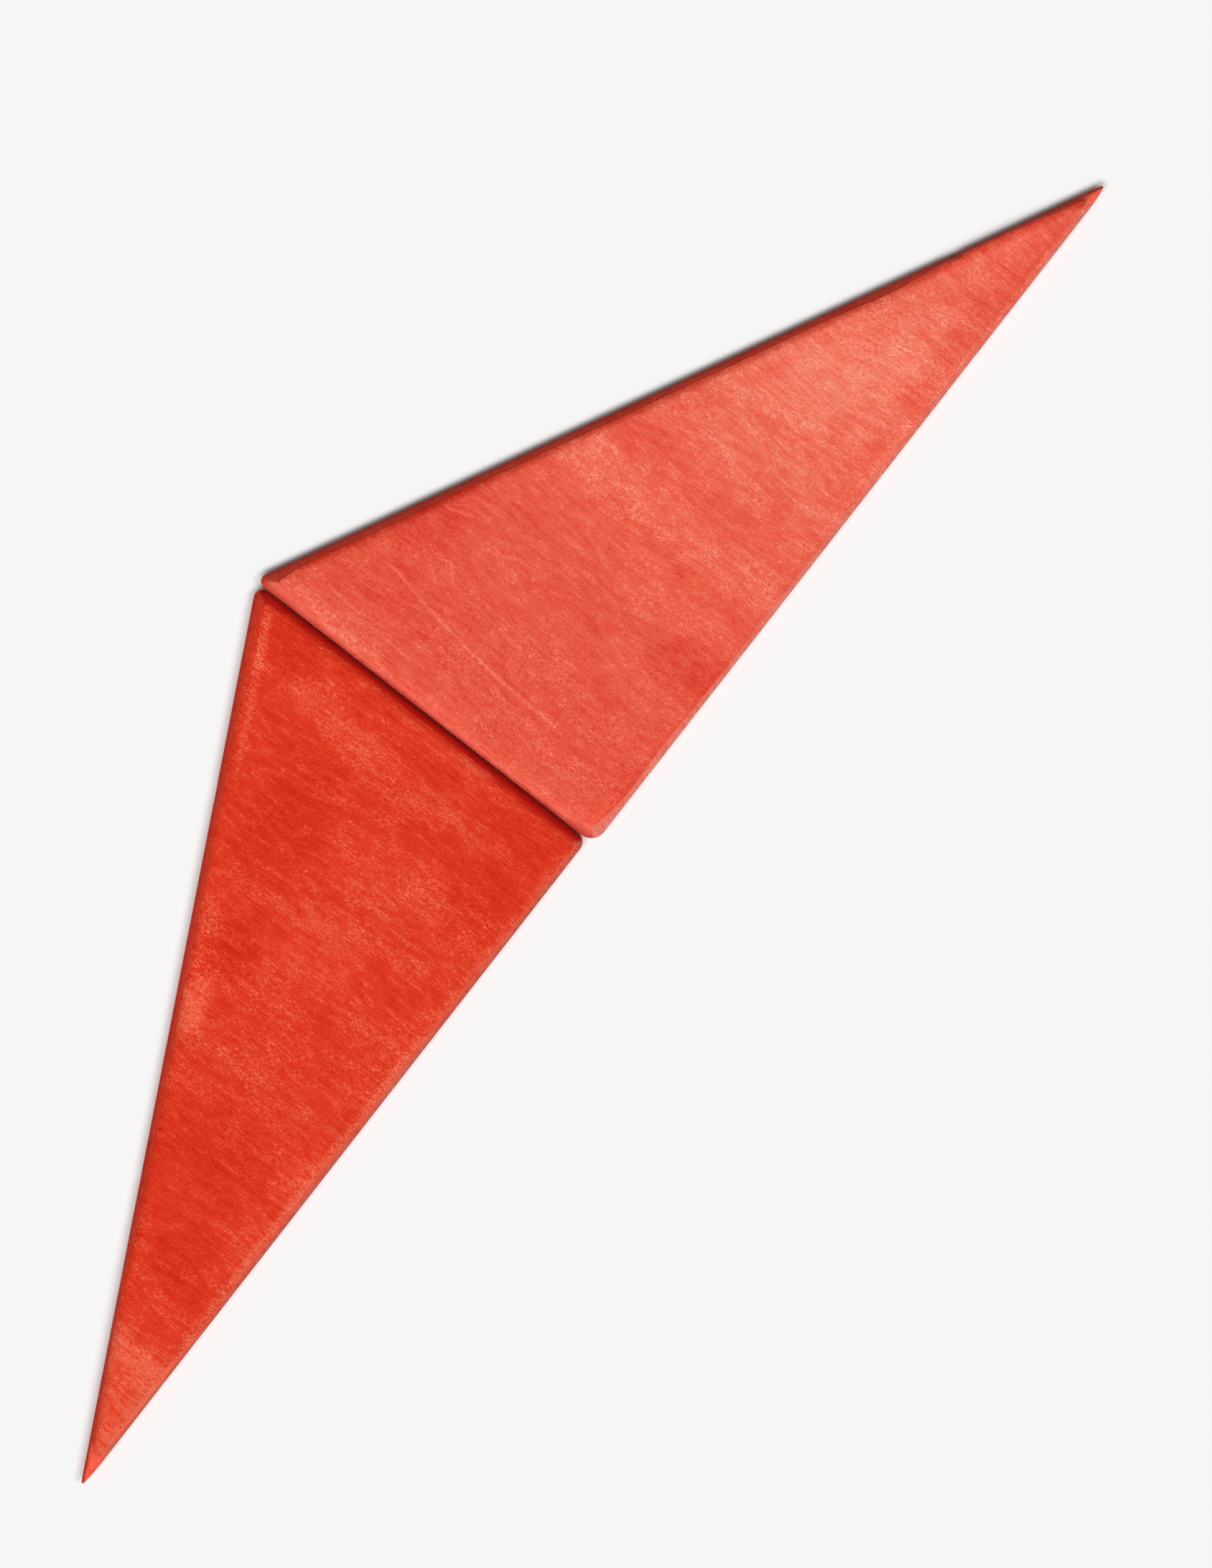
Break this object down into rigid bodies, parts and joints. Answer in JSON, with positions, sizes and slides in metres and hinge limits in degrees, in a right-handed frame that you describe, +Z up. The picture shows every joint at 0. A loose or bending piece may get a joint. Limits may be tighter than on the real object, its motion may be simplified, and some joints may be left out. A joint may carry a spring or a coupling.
{
  "type": "right-triangle tiles",
  "caption": "Thin flat right-triangle tiles of red-stained plywood with sanded rims, lying short edge to short edge as one wide low triangle.",
  "frame": {"origin": "the middle of the pair's outline, on the surface that the tiles lie on", "axes": "+X along the long edges towards the right tile's tip, +Y up the short edges towards the apex, +Z up out of the face veneers"},
  "size_m": [0.2942, 0.076, 0.0032],
  "materials": {
    "right_stained_veneer": "red stain, sanded, matt",
    "right_stained_core": "red stain, sanded, matt",
    "right_glue": "cured glue, stained dark",
    "left_stained_veneer": "red stain, sanded, matt",
    "left_stained_core": "red stain, sanded, matt",
    "left_glue": "cured glue, stained dark"
  },
  "bodies": {
    "right_tile": {"right_back_veneer": "right_stained_veneer", "right_lower_glue_film": "right_glue", "right_core_ply": "right_stained_core", "right_upper_glue_film": "right_glue", "right_face_veneer": "right_stained_veneer"},
    "left_tile": {"left_back_veneer": "left_stained_veneer", "left_lower_glue_film": "left_glue", "left_core_ply": "left_stained_core", "left_upper_glue_film": "left_glue", "left_face_veneer": "left_stained_veneer"}
  },
  "joints": [
    {"name": "left_tile_slide", "type": "slide", "parent": "right_tile", "child": "left_tile", "axis": [-1, 0, 0], "range_m": [0, 0.075]}
  ]
}
